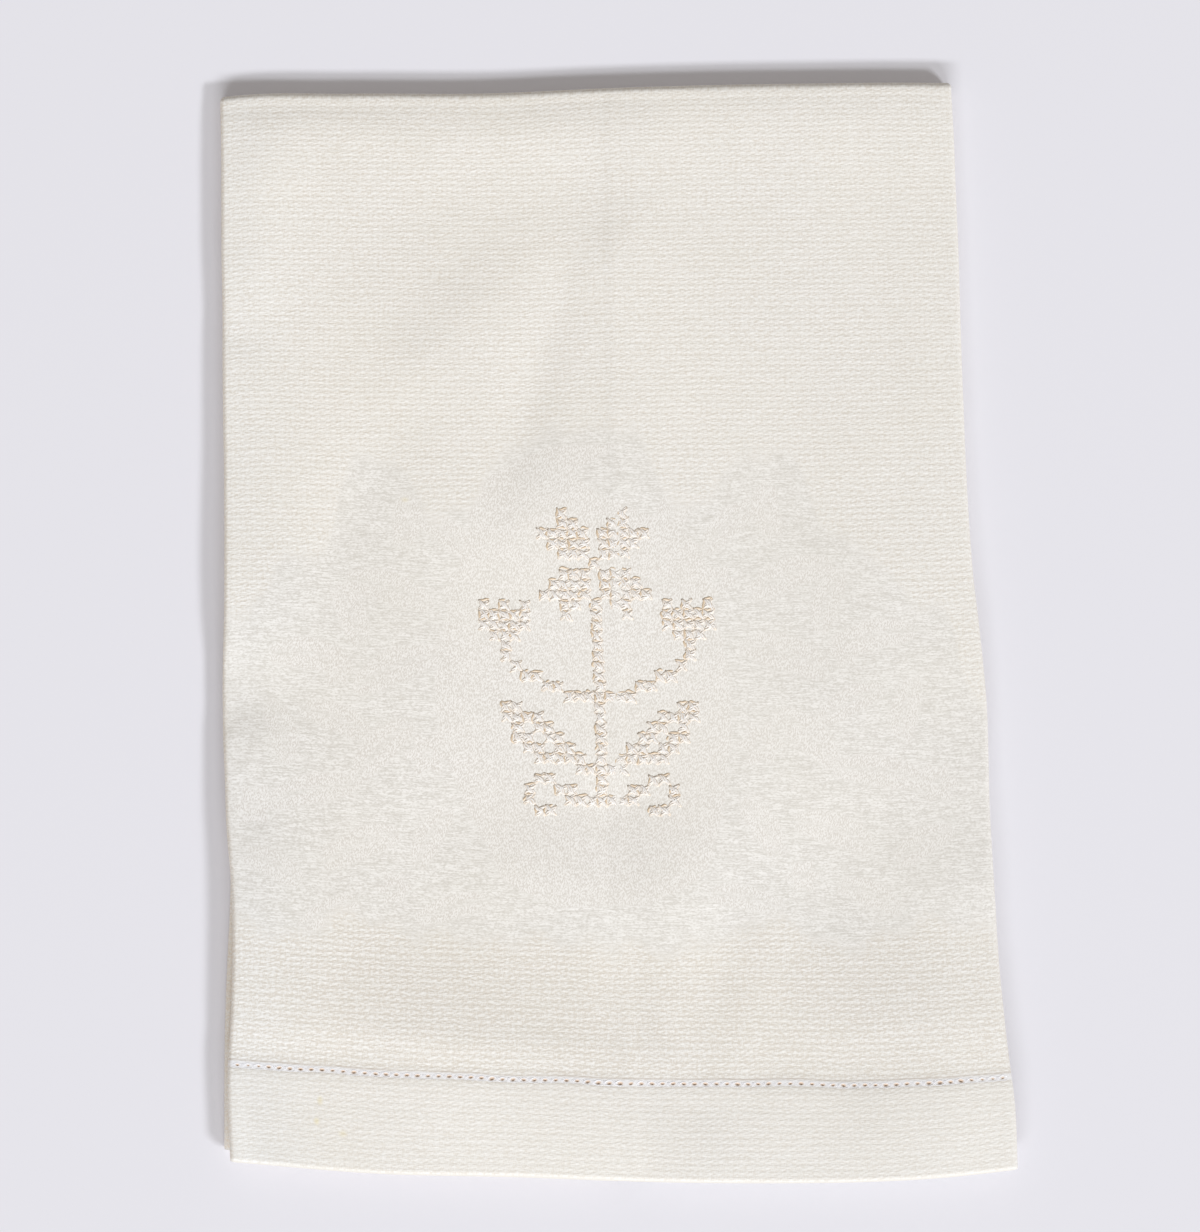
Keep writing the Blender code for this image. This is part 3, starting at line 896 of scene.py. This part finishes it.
def hemstitch_threads():
    """The thread that arches over the holes, the one that catches the hem, and two ties at each bar."""
    steps = np.linspace(-0.5, 0.5, POINTS_IN_ARCH + 1)[:-1]
    arch, catch = [], []
    for i in range(REPEATS):
        middle = (i - (REPEATS - 1) / 2) * REPEAT
        height = ARCH_RISE * even.uniform(*ARCH_VARIES)
        for t in steps:
            u = middle + t * REPEAT + even.uniform(-0.05, 0.05)
            up = height * math.cos(math.pi * t) ** 0.8 - ARCH_FOOT
            arch.append((u, BODY_LENGTH - up, ARCH_LIES + 0.02 * math.cos(math.pi * t), SEWING_RADIUS))
            low = CATCH_DOWN + 0.08 * math.cos(2 * math.pi * t) + even.uniform(-0.04, 0.04)
            catch.append((u, BODY_LENGTH + low, CATCH_LIES, SEWING_RADIUS * 0.55))
    paths = [arch, catch]
    for i in range(REPEATS - 1):
        middle = (i + 1 - REPEATS / 2) * REPEAT
        for shift in (-TIE_APART, TIE_APART):
            lean, radius = even.uniform(-TIE_LEAN, TIE_LEAN), SEWING_RADIUS * 0.85
            paths.append([
                (middle + shift + lean * t, BODY_LENGTH + TIE_REACH * t, TIE_LIES - 0.03 * t * t, radius)
                for t in (-0.9, -0.5, 0, 0.5, 1.0)
            ])
    laid = [lay_on(*np.array(path).T, np.full(len(path), SEWING_SHADE_OFFSET)) for path in paths]
    return tubes("hemstitching", laid)


def thread_group():
    """Twisted thread: its fine slanting plies, and where it is a little worn."""
    inputs = {"Across": 0, "Down": 0, "High": 0, "Twist": 3000}
    tree, w, given, out = new_group("twisted_thread", inputs, ("Plies", "Cloud"))
    slanting, along = w.plus(given["Across"], given["High"]), w.times(given["Twist"], 0.5)
    w.feed(out["Plies"], w.noise(slanting, given["Down"], given["Twist"], along, 2.0, 4.0))
    w.feed(out["Cloud"], w.noise(given["Across"], given["Down"], 300, 300, 1.0, 8.0))
    return tree


twisted_thread = thread_group()


def thread_material(name, colour, deep, twist):
    """Twisted thread with a soft sheen, of its second colour along its plies, where it is worn, and as
    painted shade where the attribute deep says.
    """
    values = {"Roughness": 0.6, "Specular IOR Level": 0.35, "Sheen Weight": 0.15}
    material, w, shader = new_material(name, values)
    place = w.add("ShaderNodeTexCoord").outputs["Object"]
    place = w.add("ShaderNodeSeparateXYZ", {"Vector": place}).outputs
    reads = {"Across": place["X"], "Down": place["Y"], "High": place["Z"], "Twist": twist}
    thread = w.add("ShaderNodeGroup", reads, node_tree=twisted_thread).outputs
    low = w.add("ShaderNodeAttribute", attribute_name="deep").outputs["Fac"]
    mixed = w.blend(w.between(thread["Plies"], 0.4, 0.7, 0.0, 0.30), colour, deep)
    mixed = w.blend(w.between(thread["Cloud"], 0.4, 0.7, 0.0, 0.12), mixed, deep)
    # painted shade from the attribute deep
    mixed = w.blend(w.between(low, 0.05, 0.75), mixed, deep)
    bump = w.add("ShaderNodeBump", {"Height": thread["Plies"], "Strength": 0.6, "Distance": 0.00008})
    w.feed(shader.inputs["Base Color"], mixed)
    w.feed(shader.inputs["Normal"], bump.outputs["Normal"])
    return material


SEWING_WHITE, SEWING_GREY_AND_SHADE = (0.89, 0.88, 0.91, 1), (0.82, 0.79, 0.80, 1)
SEWING_TWIST = 2600  # plies to the metre
hemstitching = placed(
    hemstitch_threads(), thread_material("white_sewing_thread", SEWING_WHITE, SEWING_GREY_AND_SHADE, SEWING_TWIST)
)
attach(hemstitching, "root")

# ----------------------------------------------------------
# The embroidery. A sprig worked in cross stitch over the damask, in thick cream cotton floss of three
# strands, each cross two slanting stitches pulled into the cloth at their corners.
STITCH = 2.6
LEG, PULLED = 0.52, 0.32  # how far a leg reaches each way, in stitches, and how far its ends may be off
STRANDS, STRAND_RADIUS, STRAND_APART = 3, 0.33, 0.36
STITCH_RISE, OVER_RISE, SUNK = 0.08, 0.08, 0.07  # of twisting strands, of the upper leg, into the cloth
PLUMP, TURNS, CURL = (0.8, 1.3), (0.7, 1.2), 0.35
# The plies that lie low: height and its bow, radius and its swell, how much painted shade they get
UNDER_PLY = (-0.14, 0.05, 0.33, 0.03, 0.35)
SHADE_EDGE_PLY = (-0.08, 0.06, 0.22, 0.07, 0.62)
# the edge plies are painted shade laid along the crosses' upper and left edges
SHADE_EDGE_PLIES = (((1, -1), 0.75), ((-1, 1), 0.55))  # from the upper left corner to which, and how often
FLOSS_FLAT = 0.6  # a strand's height by its width
# the floss's tan is both its ply colour and its painted shade
FLOSS_CREAM, FLOSS_TAN_AND_SHADE = (0.88, 0.865, 0.85, 1), (0.70, 0.55, 0.385, 1)
FLOSS_TWIST = 3000
CHART_MIDDLE = (-1.2, 149.4)  # u and v of the chart's middle
# Half of the chart, from its middle column out to the right; the left half is its mirror
CHART = (
    "...X",
    "..XX",
    ".XXXXX",
    ".XXXX",
    ".XXX",
    "X",
    ".XXX",
    ".XXXX",
    ".XXXXX",
    "X.XX...X.X.X",
    "X..X...XXXXX",
    "X......XXXXX",
    "X.......XXX",
    "X........X",
    "X........X",
    "X.......X",
    "X.....XX",
    "X...XX",
    "XXXX",
    "X.......XX",
    "X.....XXXX",
    "X....XX.X",
    "X...XX.XX",
    "X..XX.XX",
    "X.XXXXX",
    "XXX",
    "X....XX",
    "X..XX..X",
    "XXXX...X",
    ".....XX",
)
times = np.linspace(0, 1, 8)  # along a strand, end to end
bow = np.sin(math.pi * times)


def lay_strand(start, end, aside, height, radius, deep):
    """A strand on the front from start to end."""
    run = end - start
    across = np.array((-run[1], run[0])) / np.hypot(*run)
    u, v = (start + run * times[:, None] + across * aside[:, None]).T
    return lay_on(u, v, height, radius, deep)


def lay_ply(start, end, aside, ply):
    """One of the plies that lie low."""
    height, height_bow, radius, swell, deep = ply
    return lay_strand(start, end, aside, height + height_bow * bow, radius + swell * bow, deep + 0 * bow)


def cross_legs(middle):
    """A cross's two slanting legs, one over the other, each of strands twisted loosely together."""
    strands = []
    for over, slant in ((False, 1), (True, -1)):
        ends = np.array(((-1, slant), (1, -slant))) * STITCH * LEG
        ends = middle + ends + even.uniform(-PULLED, PULLED, (2, 2))
        plump = even.uniform(*PLUMP)
        curl = even.uniform(-CURL, CURL) * np.sin(2 * math.pi * times + even.uniform(0, 6)) * bow
        twist = even.uniform(0, 6) + even.uniform(*TURNS) * 2 * math.pi * times
        for strand in range(STRANDS):
            swing = twist + strand * 2 * math.pi / STRANDS
            aside = STRAND_APART * bow ** 0.5 * plump * np.sin(swing) + even.uniform(-0.10, 0.10) + curl
            height = STITCH_RISE * np.cos(swing) * bow ** 0.7 + OVER_RISE * over * bow ** 2 - SUNK
            radius = STRAND_RADIUS * (0.55 + 0.45 * bow) * even.uniform(0.85, 1.15)
            # painted shade towards the strand's ends, where it dives into the cloth, a little less on the
            # upper leg
            deep = 0.5 * (1 - bow) ** 2 + 0.02 - 0.08 * over
            strands.append(lay_strand(ends[0], ends[1], aside, height, radius, deep))
    return strands


def low_plies(middle):
    """The plies that lie low: under both legs, and for most crosses along the upper or left edge, where
    they are tan strands of painted shade.
    """
    strands = []
    for slant in (1, -1):
        corner = np.array((1, slant)) * STITCH * 0.5
        strands.append(lay_ply(middle - corner, middle + corner, 0 * bow, UNDER_PLY))
    for corner, chance in SHADE_EDGE_PLIES:
        if even.uniform() < chance:
            near = np.array((-1, -1)) * STITCH * LEG
            run = np.array(corner) * STITCH * LEG - near
            start = middle + near + run * even.uniform(-0.05, 0.3) + even.uniform(-0.18, 0.18, 2)
            end = middle + near + run * even.uniform(0.6, 1.05) + even.uniform(-0.18, 0.18, 2)
            aside = even.uniform(-CURL, CURL) * bow
            aside = aside + even.uniform(-0.2, 0.2) * np.sin(2 * math.pi * times)
            strands.append(lay_ply(start, end, aside, SHADE_EDGE_PLY))
    return strands


def floss_stitches():
    """Every cross of the chart."""
    strands = []
    for row, line in enumerate(CHART):
        for column in range(-len(line) + 1, len(line)):
            if line[abs(column)] == "X":
                down = row - (len(CHART) - 1) / 2
                middle = np.array((CHART_MIDDLE[0] + column * STITCH, CHART_MIDDLE[1] + down * STITCH))
                strands += cross_legs(middle)
                strands += low_plies(middle)
    return tubes("cross_stitched_sprig", strands, FLOSS_FLAT)


sprig = placed(floss_stitches(), thread_material("cream_floss", FLOSS_CREAM, FLOSS_TAN_AND_SHADE, FLOSS_TWIST))
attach(sprig, "root")

# ----------------------------------------------------------
# The table and the light: a plain pale surface, a wide low strip of cool light from the hem's side, a
# second cool light to the right of it, and an even warm fill.
TABLE_SIZE = 6.0
TABLE_COLOUR = (0.815, 0.802, 0.843, 1)
LIGHT_COLOUR = (0.926, 0.958, 1.0)
LIGHT_ELEVATION, LIGHT_DISTANCE, LIGHT_HEIGHT = 29, 20.0, 1.7
LIGHTS = (("front_strip", -4, 15.0, 2983.0), ("right_light", 40, 4.5, 2504.0))  # azimuth, width, watts
FILL, FILL_COLOUR = 0.373, (1.0, 0.955, 0.907, 1)

table_top = bmesh.new()
bmesh.ops.create_grid(table_top, x_segments=2, y_segments=2, size=TABLE_SIZE / 2)
table_mesh = bpy.data.meshes.new("table_surface")
table_top.to_mesh(table_mesh)
table_top.free()
values = {"Base Color": TABLE_COLOUR, "Roughness": 0.9, "Specular IOR Level": 0.1}
table_surface = placed(table_mesh, new_material("pale_surface", values)[0])


def soft_light(name, azimuth, wide, watts):
    """A rectangular light facing the towel. Azimuth 0 is on the hem's side and 90 on the right."""
    lamp = bpy.data.lights.new(name, "AREA")
    lamp.shape, lamp.size, lamp.size_y, lamp.energy = "RECTANGLE", wide, LIGHT_HEIGHT, watts
    lamp.color = LIGHT_COLOUR
    a, e = math.radians(azimuth), math.radians(LIGHT_ELEVATION)
    towards = Vector((math.sin(a) * math.cos(e), -math.cos(a) * math.cos(e), math.sin(e)))
    light = bpy.data.objects.new(name, lamp)
    turned_to_it = towards.to_track_quat("Z", "Y").to_matrix().to_4x4()
    light.matrix_world = Matrix.Translation(towards * LIGHT_DISTANCE) @ turned_to_it
    scene.collection.objects.link(light)


for name, azimuth, wide, watts in LIGHTS:
    soft_light(name, azimuth, wide, watts)
world = bpy.data.worlds.new("even_fill")
world.use_nodes = True
world.node_tree.nodes["Background"].inputs["Color"].default_value = FILL_COLOUR
world.node_tree.nodes["Background"].inputs["Strength"].default_value = FILL
scene.world = world
scene.view_settings.view_transform = "Standard"
